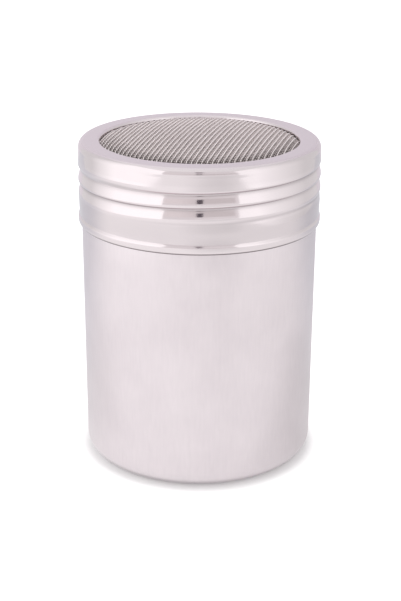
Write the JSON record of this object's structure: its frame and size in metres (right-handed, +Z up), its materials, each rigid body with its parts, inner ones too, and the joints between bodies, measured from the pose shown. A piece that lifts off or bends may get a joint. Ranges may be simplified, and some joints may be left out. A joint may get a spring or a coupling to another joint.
{
  "type": "spice shaker",
  "caption": "Round steel spice shaker: a drawn can with a threaded neck and a screw-on lid that holds a domed wire gauze with a pressed-in ring.",
  "frame": {"origin": "centre of the base, on the surface that the shaker stands on", "axes": "+Z up along the can's and the lid's common axis; the lid's groove starts 198 degrees round from +X, so that -Y is the side the picture shows"},
  "size_m": [0.0705, 0.0704, 0.0969],
  "materials": {
    "satin_steel": "satin",
    "polished_steel": "polished",
    "gauze_wire": "drawn wire",
    "ring_steel": "mill finish"
  },
  "bodies": {
    "can": {"canister": "satin_steel"},
    "lift": {"retaining_ring": "ring_steel"},
    "lid": {"lid_shell": "polished_steel", "gauze": "gauze_wire"}
  },
  "joints": [
    {"name": "lid_lift", "type": "slide", "parent": "can", "child": "lift", "axis": [0, 0, 1], "range_m": [0, 0.008]},
    {"name": "lid_turn", "type": "hinge", "parent": "lift", "child": "lid", "pos_m": [0, 0, 0.085], "axis": [0, 0, 1], "range_deg": [0, 720]}
  ],
  "couplings": [
    {"joint": "lid_lift", "follows": "lid_turn", "m_per_rad": 0.00063662}
  ]
}
